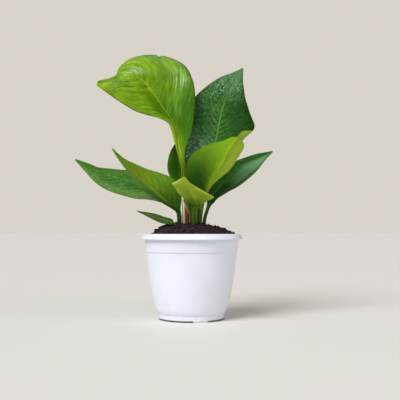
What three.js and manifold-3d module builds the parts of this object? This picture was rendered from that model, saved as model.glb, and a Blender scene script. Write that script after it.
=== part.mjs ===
import * as THREE from "three";
import Module from "manifold-3d";
import { mergeVertices } from "three/addons/utils/BufferGeometryUtils.js";

// Potted aroid: a white moulded pot, a mound of soil and a rosette of nine leaves on a short crown.
// Millimetres, +Z up. The origin is the middle of the pot's underside, on the surface it stands on.
// The front is -Y and the longest leaf reaches out to -X.

// Pot
const SIDES = 40;
const WALL = 1.9;
const RIM_TOP = { radius: 61, z: 108 };
const LIP = { radius: 65, z: 101.3, thickness: 1.5 };
const BAND_TOP = { radius: 59.9, z: 104.8 };
const BAND_FOOT = { radius: 58.1, z: 85.4 };
const STEP = 1.0;
const BODY = [
  [56.8, 79.7], [54.8, 62], [52.9, 48.5], [50.7, 36.5], [48.6, 25.5], [46.5, 17.4], [44.4, 11.5], [42.4, 8.2],
];
const BASE_RING = { radius: 41.4, top: 7.2 };
const FEET = { count: 3, height: 1.2, depth: 4.9, spread: 26, first: -73 };
const FLOOR = 2;
const PAD_RADIUS = 12;
const DRAINS = { count: 6, radius: 4.5, ring: 27, sides: 14 };

// Soil
const GAP = 0.3;
const SOIL_TOP = [[12, 121.2], [22, 119.6], [31, 117.9], [38, 116.2], [44, 114.1], [48, 111.7], [52, 108.8]];
const SOIL_CREST = 121.6;
const SOIL_SHIFT = 3;
const SOIL_EDGE_Z = 106.6;
const SOIL_LUMPS = 2.2;

// Crown and roots
const CROWN = { x: 2, y: 3, radius: 6.2, foot: 92, top: 125 };
const ROOTS = { count: 7, radius: 2.1, tip: 1.1, reach: 34, depth: 52, sides: 6, steps: 6 };

// Blades: each half has this many columns of faces, the first of which is the midrib's.
const BLADE = 0.7;
const HALF_COLUMNS = [0, 0.36, 0.7, 1];
const STALK_STEPS = 6;
const ROUND_UNTIL = 0.14;
const BELLY_SHAPE = 27 / 4;
const TIP_WIDTH = 1.4;

// Each leaf has its stalk's centre line from the soil up, and stations along the blade. A station is the
// left margin, the midrib and the right margin, as seen from the upper side with the tip away.
const LEAVES = [
  {
    name: "leaf_arching_left",
    colour: 0x6f9e1c,
    stalk: [
      [-4.8, -5, 108], [-5.2, -5, 120], [-5.6, -5, 134], [-6.4, -4, 149], [-7.8, -3, 167], [-9.1, -3, 180],
      [-9.9, -2, 192],
    ],
    width: 7.4,
    depth: 5.4,
    steps: 28,
    belly: 0.1,
    wave: { count: 2.5, height: 0.9 },
    tip: [-114, -44.5, 290.2],
    tipWidth: 9.6,
    stations: [
      [[-19.4, -4, 213], [-14.8, 0, 214], [-4.3, -6, 216]],
      [[-25.8, -4, 238], [-19.9, 3, 240], [1, -6, 240]],
      [[-30.7, -6, 248], [-25.6, 5, 254], [3.5, -4, 261]],
      [[-42, -12, 253.5], [-34.7, 6, 266], [4.6, -2, 281]],
      [[-54, -19, 256], [-44.3, 6, 281], [1.5, 6, 304.3]],
      [[-69, -24, 260], [-53.7, 3, 294], [-10.1, 14, 325.8]],
      [[-83, -28, 267], [-63, -3, 303], [-34.7, 18, 338]],
      [[-96, -32, 275], [-75, -11, 306.5], [-61.1, 13, 338.8]],
      [[-98.2, -34, 276.9], [-82.2, -15.5, 303.7], [-80.3, 5, 331.4]],
      [[-100.2, -36, 278.4], [-90.1, -21, 299.9], [-91.9, -5, 317.6]],
      [[-103.6, -38, 280.8], [-95.8, -26, 296.7], [-93.2, -13, 307.2]],
      [[-106.9, -41, 282.6], [-102.5, -32, 293.2], [-100.2, -22, 301]],
      [[-110.1, -44, 284.4], [-109.2, -38.5, 290.2], [-108.7, -31, 297.1]],
    ],
  },
  {
    name: "leaf_tall_back",
    colour: 0x2c5f33,
    stalk: [[7.2, 11.2, 108], [8.4, 12, 121], [9, 12, 138], [11.5, 12, 158], [14.7, 11.5, 177]],
    width: 5,
    depth: 4.4,
    steps: 17,
    belly: 0.1,
    wave: { count: 3, height: 1.4 },
    tip: [68.9, 61, 332.4],
    stations: [
      [[-6.6, 15, 200.5], [20.5, 12, 196.5], [35.5, 15, 194]],
      [[-8.1, 22, 221.5], [27, 15, 216.4], [52.2, 18, 215.5]],
      [[-9.2, 30, 245.8], [32.3, 18.5, 235.5], [68.3, 22, 232.3]],
      [[-4.7, 36, 271.9], [36.1, 22.5, 254.8], [82, 27, 247]],
      [[5.1, 40, 290.8], [40, 27, 271.2], [76.3, 34, 269.7]],
      [[17.9, 44, 303.9], [45.1, 33.5, 287], [70.5, 40.5, 289]],
      [[36.4, 49, 316.4], [52.2, 42, 302.8], [69.1, 48, 305.8]],
      [[52.5, 55, 324.5], [60.5, 51, 317.1], [68.7, 54, 318.5]],
    ],
  },
  {
    name: "leaf_cupped_front",
    colour: 0x6a9620,
    stalk: [[9, -5, 108], [9.9, -8, 121], [11.3, -9, 135], [13.6, -10, 148], [16.4, -12, 158]],
    width: 6.4,
    depth: 4.6,
    steps: 15,
    belly: -0.12,
    wave: { count: 2.5, height: 0.8 },
    tip: [58, -39, 225.4],
    stations: [
      [[25.6, -9, 169.5], [21.6, -17, 168], [2.4, -15, 165.5]],
      [[36.5, -6, 179], [27.8, -21, 180], [-5.4, -16, 180]],
      [[46.7, -4, 189], [34, -25, 189.5], [-4.5, -18, 199.5]],
      [[55.3, -4, 199], [39.7, -28, 199], [6, -19, 211]],
      [[61.7, -7, 209], [44.7, -31, 208.5], [21.6, -22, 219]],
      [[65.4, -13, 218], [50, -34, 216], [37.5, -27, 222.5]],
      [[63.8, -24, 222], [54, -37, 221.5], [48.3, -32, 226.5]],
    ],
  },
  {
    name: "leaf_small_front",
    colour: 0x8aa83a,
    stalk: [[4.4, -10.6, 108], [4.2, -13.6, 120], [3.7, -14.2, 132], [4.4, -16, 143]],
    width: 8.6,
    depth: 5,
    steps: 12,
    belly: -0.1,
    wave: { count: 2, height: 0.7 },
    tip: [-7.1, -73, 174.7],
    stations: [
      [[19, -20, 148], [4.2, -23, 150], [-7.6, -20, 150.7]],
      [[28, -28, 153], [2.3, -32, 155.7], [-15.5, -27, 158]],
      [[20, -40, 158], [0, -43, 161], [-21, -36, 165.5]],
      [[8.3, -51, 163], [-2.5, -54, 166], [-23.3, -45, 169]],
      [[0, -62, 168], [-4.8, -64, 170], [-17.4, -56, 171.4]],
    ],
  },
  {
    name: "leaf_upright_back",
    colour: 0x1f4a20,
    stalk: [[-1.8, 10.4, 108], [-1, 13, 121], [-1, 14, 139], [-4.6, 16, 156]],
    width: 4,
    depth: 3.6,
    steps: 13,
    belly: 0.1,
    wave: { count: 2, height: 0.6 },
    tip: [-11.5, 50, 245],
    stations: [
      [[-23.4, 15, 173.5], [-12.5, 21, 169], [-4.7, 28, 168]],
      [[-30.6, 20, 187.5], [-16, 27, 183.5], [-4, 38, 184.5]],
      [[-31.4, 24, 201], [-17.3, 32, 198.5], [-5.5, 44, 199.5]],
      [[-28.4, 30, 216], [-16.7, 38, 213.5], [-7.5, 47, 214.5]],
      [[-20.7, 38, 230], [-14, 43, 228], [-9, 50, 229]],
    ],
  },
  {
    name: "leaf_long_left",
    colour: 0x357a38,
    stalk: [[-8, 4, 108], [-15.3, 4, 121], [-16.1, 4, 133], [-20, 6, 144]],
    width: 4.2,
    depth: 3.8,
    steps: 16,
    belly: 0.1,
    wave: { count: 3, height: 0.8 },
    tip: [-149, 4, 203],
    stations: [
      [[-38, 6, 147.5], [-33, 9, 156], [-30.4, 13, 165.5]],
      [[-55.6, 3, 151.7], [-48.3, 9, 164], [-46, 16, 179.5]],
      [[-73.3, 1, 153], [-66.3, 9, 171], [-64.3, 18, 188]],
      [[-91.7, 0, 157.6], [-84.2, 9, 177], [-83.8, 18, 191]],
      [[-108.8, 0, 164.5], [-101.6, 9, 182], [-102.4, 16, 192]],
      [[-123.6, 1, 174], [-117.5, 8, 187], [-118.7, 12, 193]],
      [[-136.6, 3, 188], [-132, 6, 193.5], [-131, 8, 198]],
    ],
  },
  {
    name: "leaf_olive_left",
    colour: 0x5f8420,
    stalk: [[-13.6, -9.4, 108], [-15.1, -13, 120], [-15.1, -13, 128], [-15.8, -14, 134]],
    width: 6,
    depth: 4.6,
    steps: 16,
    belly: -0.08,
    wave: { count: 2.5, height: 0.7 },
    tip: [-95.5, -47, 211],
    stations: [
      [[-12.4, -11, 149], [-19.2, -17, 141.5], [-26.4, -13, 140.4]],
      [[-13.4, -8, 165.7], [-29.8, -24, 147.4], [-35.8, -14, 147]],
      [[-22.8, -9, 177], [-40.7, -29, 157.7], [-49, -14, 153]],
      [[-39.6, -13, 184.7], [-52.2, -33, 167], [-61.5, -17, 161.7]],
      [[-56, -19, 189.4], [-63.5, -37, 177], [-69.8, -22, 171.7]],
      [[-71, -27, 194.7], [-74.8, -40, 186.5], [-75.7, -30, 182.6]],
      [[-82.5, -36, 200.6], [-84.8, -43, 197], [-83.7, -38, 192]],
    ],
  },
  {
    name: "leaf_low_left",
    colour: 0x3f6b30,
    stalk: [[-16, -17, 107], [-18, -18.5, 113], [-19.4, -19, 117.5], [-21, -19, 120.6]],
    width: 3.4,
    depth: 2.8,
    steps: 10,
    belly: 0.08,
    wave: { count: 1.5, height: 0.3 },
    tip: [-68.3, -14, 136.5],
    stations: [
      [[-26.5, -23, 119.6], [-26, -18, 123], [-25.2, -11, 126.6]],
      [[-36.3, -23, 120.9], [-35, -17, 125.6], [-34.7, -8, 129.6]],
      [[-46, -21, 125.2], [-44.4, -16, 128.8], [-44.2, -7, 132.6]],
      [[-56, -18.5, 130], [-55, -15, 132.2], [-54.8, -9, 134.6]],
    ],
  },
  {
    name: "leaf_right",
    colour: 0x2c5f33,
    stalk: [[11.6, 3, 108], [15.2, 2, 119], [17.3, 2, 130], [20.2, 2.5, 139]],
    width: 4.6,
    depth: 4,
    steps: 16,
    belly: 0.1,
    wave: { count: 2.5, height: 0.8 },
    tip: [104.6, 14, 214.4],
    stations: [
      [[19.4, 5, 150.5], [23.4, 4, 148.4], [27.9, 2, 146.4]],
      [[21, 6, 163], [27.3, 4, 157.6], [33.6, 1, 153.3]],
      [[30, 11, 178], [37.6, 6, 170.4], [46.3, 0, 161]],
      [[40.6, 14, 191.6], [49.3, 8, 183.4], [59.8, 0, 168]],
      [[53.5, 15, 200], [61.6, 10, 193.8], [72.8, 1, 178.6]],
      [[69, 15, 206.7], [74.6, 12, 200.6], [84, 4, 189.4]],
      [[83.2, 14, 211.3], [86.3, 13, 205.7], [93, 8, 200.3]],
      [[94, 14, 213], [95.7, 13, 210], [99.6, 11, 207.7]],
    ],
  },
];

// Papery sheath round the front of the tallest stalk's foot
const SHEATH = {
  x: -4.8, y: -5, radius: 5.2, thickness: 0.8, flare: 0.014, foot: 108, from: 168, to: 306, steps: 10,
};
const SHEATH_TOP = [150, 149, 146, 143, 144, 141, 138, 139, 135, 133, 130];

const wasm = await Module();
wasm.setup();

const vector = ([x, y, z]) => new THREE.Vector3(x, y, z);
const lerp = THREE.MathUtils.lerp;
const radians = THREE.MathUtils.degToRad;

// Solid and geometry, there and back
function solidOf(geometry) {
  const bare = geometry.clone();
  bare.deleteAttribute("normal");
  bare.deleteAttribute("uv");
  const merged = mergeVertices(bare, 1e-4);
  return new wasm.Manifold(new wasm.Mesh({
    numProp: 3,
    vertProperties: new Float32Array(merged.attributes.position.array),
    triVerts: new Uint32Array(merged.index.array),
  }));
}

function geometryOf(solid) {
  const mesh = solid.getMesh();
  const geometry = new THREE.BufferGeometry();
  geometry.setAttribute("position", new THREE.BufferAttribute(new Float32Array(mesh.vertProperties), 3));
  geometry.setIndex(new THREE.BufferAttribute(new Uint32Array(mesh.triVerts), 1));
  return geometry;
}

// A closed body from rings of points, each ring running the same way round. otherDiagonal says which of a
// ring's quads are cut along the other diagonal, so that both faces of a thin blade are split alike.
function skin(rings, otherDiagonal = () => false) {
  const count = rings[0].length;
  const positions = rings.flat().flatMap((p) => [p.x, p.y, p.z]);
  const faces = [];
  for (let k = 0; k + 1 < rings.length; k += 1) {
    for (let j = 0; j < count; j += 1) {
      const a = k * count + j;
      const b = k * count + ((j + 1) % count);
      if (otherDiagonal(j)) {
        faces.push(a, b, a + count, b, b + count, a + count);
      } else {
        faces.push(a, b, b + count, a, b + count, a + count);
      }
    }
  }
  const last = (rings.length - 1) * count;
  [0, last].forEach((start) => {
    const middle = new THREE.Vector3();
    for (let j = 0; j < count; j += 1) {
      middle.add(new THREE.Vector3().fromArray(positions, 3 * (start + j)));
    }
    middle.divideScalar(count);
    const centre = positions.length / 3;
    positions.push(middle.x, middle.y, middle.z);
    for (let j = 0; j < count; j += 1) {
      const a = start + j;
      const b = start + ((j + 1) % count);
      faces.push(...(start === 0 ? [b, a, centre] : [a, b, centre]));
    }
  });
  const geometry = new THREE.BufferGeometry();
  geometry.setAttribute("position", new THREE.Float32BufferAttribute(positions, 3));
  geometry.setIndex(faces);
  return geometry;
}

// Pot
function potProfile() {
  const { radius, top } = BASE_RING;
  const lowest = FEET.height;
  const outside = [
    [0, 0], [PAD_RADIUS, 0], [PAD_RADIUS + 1, lowest], [radius, lowest], [radius, top],
    ...[...BODY].reverse(),
    [BAND_FOOT.radius - STEP, BAND_FOOT.z - 0.6], [BAND_FOOT.radius, BAND_FOOT.z],
    [BAND_TOP.radius, BAND_TOP.z],
    [LIP.radius - LIP.thickness, LIP.z + 0.3], [LIP.radius, LIP.z], [RIM_TOP.radius + 0.6, RIM_TOP.z - 0.8],
    [RIM_TOP.radius - 0.4, RIM_TOP.z],
  ];
  const inside = [
    [BAND_TOP.radius - 1, RIM_TOP.z], [BAND_TOP.radius - WALL, BAND_TOP.z],
    [BAND_FOOT.radius - WALL - STEP, BAND_FOOT.z - 0.6],
    ...BODY.map(([r, z]) => [r - WALL, z + 0.3]).slice(0, -1),
    [radius - WALL, top], [radius - WALL - 2, lowest + FLOOR], [0, lowest + FLOOR],
  ];
  return [...outside, ...inside].map(([r, z]) => new THREE.Vector2(r, z));
}

function lathe(profile, sides) {
  return new THREE.LatheGeometry(profile, sides).rotateX(Math.PI / 2);
}

function potFoot(index) {
  const middle = radians(FEET.first + (index * 360) / FEET.count);
  const half = radians(FEET.spread / 2);
  const shape = new THREE.Shape();
  const outer = BASE_RING.radius * Math.cos(Math.PI / SIDES) - 0.05;
  shape.absarc(0, 0, outer, middle - half, middle + half, false);
  shape.absarc(0, 0, outer - FEET.depth, middle + half, middle - half, true);
  return new THREE.ExtrudeGeometry(shape, {
    depth: FEET.height + FLOOR / 2, bevelEnabled: false, curveSegments: 4,
  });
}

function potGeometry() {
  let pot = solidOf(lathe(potProfile(), SIDES));
  for (let i = 0; i < FEET.count; i += 1) pot = pot.add(solidOf(potFoot(i)));
  for (let i = 0; i < DRAINS.count; i += 1) {
    const angle = ((i + 0.5) * 2 * Math.PI) / DRAINS.count;
    const drill = new THREE.CylinderGeometry(DRAINS.radius, DRAINS.radius, 4 * FLOOR, DRAINS.sides);
    drill.rotateX(Math.PI / 2);
    drill.translate(DRAINS.ring * Math.cos(angle), DRAINS.ring * Math.sin(angle), FEET.height + FLOOR / 2);
    pot = pot.subtract(solidOf(drill));
  }
  return geometryOf(pot);
}

// Leaves
function rail(first, points, last) {
  return new THREE.CatmullRomCurve3([first, ...points.map(vector), last], false, "catmullrom", 0.5);
}

function leafRails(leaf) {
  const foot = vector(leaf.stalk.at(-1));
  const tip = vector(leaf.tip);
  const across = (station) => vector(station[2]).sub(vector(station[0])).normalize();
  const sides = [-1, 0, 1].map((side, i) => {
    const start = foot.clone().addScaledVector(across(leaf.stations[0]), (side * leaf.width) / 2);
    const tipHalf = (side * (leaf.tipWidth ?? TIP_WIDTH)) / 2;
    const end = tip.clone().addScaledVector(across(leaf.stations.at(-1)), tipHalf);
    return rail(start, leaf.stations.map((station) => station[i]), end);
  });
  return { left: sides[0], rib: sides[1], right: sides[2] };
}

// A point of the blade's middle surface: v runs from -1 at the left margin over 0 at the midrib to 1.
function bladePoint(leaf, rails, u, v) {
  const rib = rails.rib.getPoint(u);
  const side = v < 0 ? -1 : 1;
  const span = (v < 0 ? rails.left : rails.right).getPoint(u).sub(rib);
  const up = span.clone().multiplyScalar(side).cross(rails.rib.getTangent(u)).normalize();
  const t = Math.abs(v);
  const belly = leaf.belly * span.length() * BELLY_SHAPE * t * t * (1 - t);
  const fade = Math.sin(Math.PI * u);
  const wave = leaf.wave.height * fade * t * t * Math.sin(2 * Math.PI * leaf.wave.count * u + side);
  return rib.addScaledVector(span, t).addScaledVector(up, belly + wave);
}

function bladeNormal(leaf, rails, u, v) {
  const d = 0.02;
  const { clamp } = THREE.MathUtils;
  const at = (a, b) => bladePoint(leaf, rails, clamp(a, 0, 1), clamp(b, -1, 1));
  const along = at(u + d, v).sub(at(u - d, v));
  const across = at(u, v + d).sub(at(u, v - d));
  return across.cross(along).normalize();
}

function bladeRing(leaf, rails, u) {
  const rib = rails.rib.getPoint(u);
  const ribHalf = (leaf.width / 2) * (1 - 0.75 * u);
  const keel = leaf.depth * (1 - u) ** 1.3 * 0.8;
  const columns = (curve, side) => {
    const half = curve.getPoint(u).distanceTo(rib);
    const first = Math.min(0.6, ribHalf / half);
    return HALF_COLUMNS.map((t) => side * (first + (1 - first) * t));
  };
  const across = [...columns(rails.left, -1).reverse(), 0, ...columns(rails.right, 1)];
  const top = [];
  const bottom = [];
  across.forEach((v) => {
    const point = bladePoint(leaf, rails, u, v);
    const normal = bladeNormal(leaf, rails, u, v);
    top.push(point.clone().addScaledVector(normal, BLADE / 2));
    bottom.push(point.clone().addScaledVector(normal, -BLADE / 2 - (v === 0 ? keel : 0)));
  });
  return [...top, ...bottom.reverse()];
}

function roundRing(centre, along, across, width, depth) {
  const side = across.clone().addScaledVector(along, -across.dot(along)).normalize();
  const up = side.clone().cross(along).normalize();
  const count = 2 * (2 * HALF_COLUMNS.length + 1);
  return Array.from({ length: count }, (_, j) => {
    const angle = Math.PI - ((j + 0.5) * 2 * Math.PI) / count;
    return centre.clone()
      .addScaledVector(side, (Math.cos(angle) * width) / 2)
      .addScaledVector(up, (Math.sin(angle) * depth) / 2);
  });
}

function stalkRings(leaf, rails, clearance, until) {
  const curve = new THREE.CatmullRomCurve3(leaf.stalk.map(vector), false, "catmullrom", 0.5);
  const across = rails.right.getPoint(0).sub(rails.left.getPoint(0));
  return Array.from({ length: STALK_STEPS + 1 }, (_, k) => {
    const s = (k / STALK_STEPS) * until;
    const centre = curve.getPointAt(s);
    const along = curve.getTangentAt(s);
    if (k === 0) centre.addScaledVector(along, -clearance);
    return roundRing(centre, along, across, leaf.width + 2 * clearance, leaf.depth + 2 * clearance);
  });
}

function leafGeometry(leaf) {
  const rails = leafRails(leaf);
  const rings = stalkRings(leaf, rails, 0, 1).slice(0, -1);
  for (let k = 0; k <= leaf.steps; k += 1) {
    const u = k / leaf.steps;
    const flat = THREE.MathUtils.smoothstep(u, 0, ROUND_UNTIL);
    const blade = bladeRing(leaf, rails, u);
    const across = rails.right.getPoint(u).sub(rails.left.getPoint(u));
    const round = roundRing(rails.rib.getPoint(u), rails.rib.getTangent(u), across, leaf.width, leaf.depth);
    rings.push(blade.map((point, j) => round[j].lerp(point, flat)));
  }
  const top = 2 * HALF_COLUMNS.length;
  return skin(rings, (j) => j > top);
}

// What a stalk takes out of the soil: its own foot, wider by the gap
function stalkHole(leaf) {
  return solidOf(skin(stalkRings(leaf, leafRails(leaf), GAP, 1)));
}

// Crown and roots
function crownGeometry(clearance) {
  const { radius, foot, top } = CROWN;
  const profile = [
    [0, foot - 4], [radius * 0.6, foot - 3], [radius, foot + 4],
    [radius, top - 8], [radius * 0.8, top - 2], [0, top],
  ];
  const middle = (foot + top) / 2;
  const grown = ([r, z]) => new THREE.Vector2(r ? r + clearance : 0, z + Math.sign(z - middle) * clearance);
  const points = profile.map(grown);
  let crown = solidOf(lathe(points, 14).translate(CROWN.x, CROWN.y, 0));
  for (let i = 0; i < ROOTS.count; i += 1) crown = crown.add(solidOf(rootGeometry(i, clearance)));
  return crown;
}

function rootGeometry(index, clearance) {
  const turn = ((index + 0.3) * 2 * Math.PI) / ROOTS.count;
  const reach = ROOTS.reach * (0.75 + 0.25 * Math.cos(2.3 * index));
  const way = (distance, z, swing) => new THREE.Vector3(
    CROWN.x + distance * Math.cos(turn + swing), CROWN.y + distance * Math.sin(turn + swing), z);
  const curve = new THREE.CatmullRomCurve3([
    way(1, CROWN.foot + 3, 0), way(CROWN.radius + 3, CROWN.foot - 3, 0.1),
    way(reach * 0.7, CROWN.foot - ROOTS.depth * 0.4, 0.3), way(reach, CROWN.foot - ROOTS.depth, 0.1),
  ], false, "catmullrom", 0.5);
  const rings = Array.from({ length: ROOTS.steps + 1 }, (_, k) => {
    const s = k / ROOTS.steps;
    const along = curve.getTangentAt(s);
    const side = new THREE.Vector3(-Math.sin(turn), Math.cos(turn), 0);
    side.addScaledVector(along, -side.dot(along)).normalize();
    const up = side.clone().cross(along);
    const centre = curve.getPointAt(s);
    if (k === ROOTS.steps) centre.addScaledVector(along, clearance);
    const radius = lerp(ROOTS.radius, ROOTS.tip, s) + clearance;
    return Array.from({ length: ROOTS.sides }, (_, j) => {
      const angle = (-j * 2 * Math.PI) / ROOTS.sides;
      return centre.clone()
        .addScaledVector(side, radius * Math.cos(angle))
        .addScaledVector(up, radius * Math.sin(angle));
    });
  });
  return skin(rings);
}

// Sheath
function sheathRing(index, clearance, top) {
  const { x, y, radius, thickness, foot, from, to, steps, flare } = SHEATH;
  const angle = radians(lerp(from, to, index / steps));
  const end = index === 0 ? -1 : index === steps ? 1 : 0;
  const at = (r, z) => new THREE.Vector3(
    x + r * Math.cos(angle) - end * clearance * Math.sin(angle),
    y + r * Math.sin(angle) + end * clearance * Math.cos(angle), z);
  const inner = radius - clearance;
  const outer = radius + thickness + clearance;
  const lean = flare * (top - foot);
  const bottom = foot - clearance;
  return [at(inner + lean, top), at(outer + lean, top), at(outer, bottom), at(inner, bottom)];
}

function sheathGeometry(clearance, top) {
  const tops = SHEATH_TOP.map((torn) => top ?? torn);
  return skin(tops.map((height, k) => sheathRing(k, clearance, height)));
}

// Soil
function soilHeight(radius, angle, z) {
  const broad = Math.sin(3 * angle + 4.4);
  const fine = 0.6 * Math.sin(7 * angle + radius / 6) + 0.5 * Math.cos(5 * angle - radius / 9);
  return z + (SOIL_LUMPS * (broad + fine) * Math.min(1, radius / 20)) / 2;
}

function soilGeometry() {
  const wallGap = WALL + GAP;
  const inner = [...BODY].reverse().slice(1).map(([r, z]) => [r - wallGap, z + 0.3]);
  const profile = [
    [0, FEET.height + FLOOR + GAP], [BASE_RING.radius - WALL - 2.6, FEET.height + FLOOR + GAP],
    [BASE_RING.radius - wallGap, BASE_RING.top + 0.6],
    ...inner,
    [BAND_FOOT.radius - STEP - wallGap, BAND_FOOT.z - 0.6], [BAND_TOP.radius - wallGap, BAND_TOP.z],
    [BAND_TOP.radius - wallGap - 0.4, SOIL_EDGE_Z],
    ...[...SOIL_TOP].reverse(), [0, SOIL_CREST],
  ].map(([r, z]) => new THREE.Vector2(r, z));
  const geometry = lathe(profile, SIDES);
  const position = geometry.attributes.position;
  for (let i = 0; i < position.count; i += 1) {
    const x = position.getX(i);
    const y = position.getY(i);
    const z = position.getZ(i);
    const radius = Math.hypot(x, y);
    if (z > SOIL_EDGE_Z + 1) {
      position.setX(i, x + SOIL_SHIFT);
      position.setZ(i, soilHeight(radius, Math.atan2(y, x), z));
    }
  }
  let soil = solidOf(geometry);
  LEAVES.forEach((leaf) => {
    soil = soil.subtract(stalkHole(leaf));
  });
  soil = soil.subtract(crownGeometry(GAP)).subtract(solidOf(sheathGeometry(GAP, SOIL_CREST + 6)));
  return geometryOf(soil);
}

// The whole plant in its pot
const plant = new THREE.Group();

function place(name, geometry, colour, roughness) {
  const material = new THREE.MeshStandardMaterial({ color: colour, roughness, metalness: 0 });
  const mesh = new THREE.Mesh(geometry, material);
  mesh.name = name;
  plant.add(mesh);
}

place("pot", potGeometry(), 0xf1f2f6, 0.45);
place("soil", soilGeometry(), 0x33282b, 0.95);
place("crown_and_roots", geometryOf(crownGeometry(0)), 0x7a6a48, 0.8);
place("sheath", sheathGeometry(0), 0x9a6a4c, 0.8);
LEAVES.forEach((leaf) => place(leaf.name, leafGeometry(leaf), leaf.colour, 0.35));

export default plant;
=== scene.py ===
import math
import random

import bpy
import numpy as np
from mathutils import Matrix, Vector, noise


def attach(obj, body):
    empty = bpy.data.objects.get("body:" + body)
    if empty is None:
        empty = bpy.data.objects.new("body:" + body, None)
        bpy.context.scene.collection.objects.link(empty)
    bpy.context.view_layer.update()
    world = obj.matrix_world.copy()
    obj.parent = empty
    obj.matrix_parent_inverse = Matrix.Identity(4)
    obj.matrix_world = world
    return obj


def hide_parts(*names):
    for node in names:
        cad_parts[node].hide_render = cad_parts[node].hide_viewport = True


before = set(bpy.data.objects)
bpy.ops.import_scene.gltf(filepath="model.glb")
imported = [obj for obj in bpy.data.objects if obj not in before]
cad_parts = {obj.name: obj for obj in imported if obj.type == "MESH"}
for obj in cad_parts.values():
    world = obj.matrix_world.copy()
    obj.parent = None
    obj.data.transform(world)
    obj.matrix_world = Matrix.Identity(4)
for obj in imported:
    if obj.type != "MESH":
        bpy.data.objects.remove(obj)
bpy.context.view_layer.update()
MM = 0.001

# Camera: a level lens at a low standing height, a little right of the pot's axis. The view is shifted
# up, so that the horizon lies below the middle of the picture.
camera = bpy.data.cameras.new("camera")
camera.sensor_width = 36
camera.lens = 63
camera.shift_y = 0.075
camera_stand = bpy.data.objects.new("camera", camera)
camera_stand.location = (10.7 * MM, -890 * MM, 112.8 * MM)
camera_stand.rotation_euler = (math.radians(90), 0, 0)
scene = bpy.context.scene
scene.collection.objects.link(camera_stand)
scene.camera = camera_stand

# Floor and light: a plain pale floor under a pale room. A broad soft daylight comes from the upper front
# left, a faint one from the right, and three soft windows give the leaves their glints.
scene.view_settings.view_transform = "Standard"
FLOOR_SIZE = 60
FLOOR_COLOUR = (0.80, 0.773, 0.755, 1)
ROOM_COLOUR = (0.69, 0.65, 0.58, 1)
ROOM_FILL = 0.58
ROOM_GLOSS = 0.12
LIGHT_AIM = Vector((0, 0, 0.19))
# Each daylight's name, where it comes from, its breadth in degrees, its power and its colour.
DAYLIGHTS = [
    ("day_left", (-0.75, -0.95, 1.3), 34, 2.75, (0.97, 0.985, 1.0)),
    ("day_right", (1.3, -0.9, 0.6), 60, 0.6, (0.97, 0.98, 1.0)),
]
# Each window's name, place, width and power.
WINDOWS = [
    ("window_left", (-0.58, -1.15, 1.14), 0.5, 4),
    ("window_front", (0.21, -0.76, 1.55), 0.6, 3),
    ("window_top", (0.0, 0.3, 1.65), 0.9, 4),
]
WINDOW_COLOUR = (0.82, 0.94, 1.0)


class Value:
    """A value inside a shader. The signs + - * and abs() on it add the math nodes that work them out."""

    def __init__(self, socket):
        self.socket = socket
        self.tree = socket.id_data

    def __add__(self, other):
        return calc("ADD", self, other)

    def __sub__(self, other):
        return calc("SUBTRACT", self, other)

    def __rsub__(self, other):
        return calc("SUBTRACT", other, self)

    def __mul__(self, other):
        return calc("MULTIPLY", self, other)

    def __abs__(self):
        return calc("ABSOLUTE", self)


def calc(operation, *terms):
    """A math node on these terms. At least one of them is a shader's value, the others may be numbers."""
    tree = next(term.tree for term in terms if isinstance(term, Value))
    return node(tree, "Math", *terms, operation=operation)


def feed(socket, value):
    """Links a shader's value to an input, or sets the input to a plain value. None leaves it as it is."""
    if isinstance(value, Value):
        value.tree.links.new(value.socket, socket)
    elif value is not None:
        socket.default_value = value


def node(tree, kind, *inputs, out=0, **settings):
    """Adds a shader node and gives one output. A setting with a capital is an input's name."""
    made = tree.nodes.new("ShaderNode" + kind)
    for name, value in settings.items():
        if name[0].isupper():
            feed(made.inputs[name], value)
        else:
            setattr(made, name, value)
    for socket, value in zip(made.inputs, inputs):
        feed(socket, value)
    return Value(made.outputs[out])


def new_finish(name, roughness, specular=0.5):
    """An empty material, its tree and its Principled shader's inputs."""
    material = bpy.data.materials.new(name)
    material.use_nodes = True
    inputs = material.node_tree.nodes["Principled BSDF"].inputs
    inputs["Roughness"].default_value = roughness
    inputs["Specular IOR Level"].default_value = specular
    return material, material.node_tree, inputs


def hang_lamp(name, kind, place, power, colour):
    """A lamp at a place, turned to the middle of the plant."""
    lamp = bpy.data.lights.new(name, kind)
    lamp.energy = power
    lamp.color = colour
    holder = bpy.data.objects.new(name, lamp)
    holder.location = place
    holder.rotation_euler = (LIGHT_AIM - holder.location).to_track_quat("-Z", "Y").to_euler()
    scene.collection.objects.link(holder)
    return lamp, holder


bpy.ops.mesh.primitive_plane_add(size=FLOOR_SIZE)
floor = bpy.context.object
floor.name = "floor"
floor_finish, _, floor_inputs = new_finish("floor", 0.7)
floor_inputs["Base Color"].default_value = FLOOR_COLOUR
floor.data.materials.append(floor_finish)

# The room is seen at its full brightness, and lights the plant with less, so that the colours stay deep.
room = bpy.data.worlds.new("room")
room.use_nodes = True
background = room.node_tree.nodes["Background"].inputs
background["Color"].default_value = ROOM_COLOUR
glossy_ray = node(room.node_tree, "LightPath", out="Is Glossy Ray")
camera_ray = node(room.node_tree, "LightPath", out="Is Camera Ray")
room_lit = node(room.node_tree, "MapRange", glossy_ray, 0, 1, ROOM_FILL, ROOM_GLOSS)
feed(background["Strength"], node(room.node_tree, "MapRange", camera_ray, 0, 1, room_lit, 1))
scene.world = room

for name, place, breadth, power, colour in DAYLIGHTS:
    lamp, holder = hang_lamp(name, "SUN", place, power, colour)
    lamp.angle = math.radians(breadth)
    holder.visible_glossy = False
for name, place, width, power in WINDOWS:
    lamp, holder = hang_lamp(name, "AREA", place, power, WINDOW_COLOUR)
    lamp.size = width
    holder.visible_diffuse = False

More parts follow.
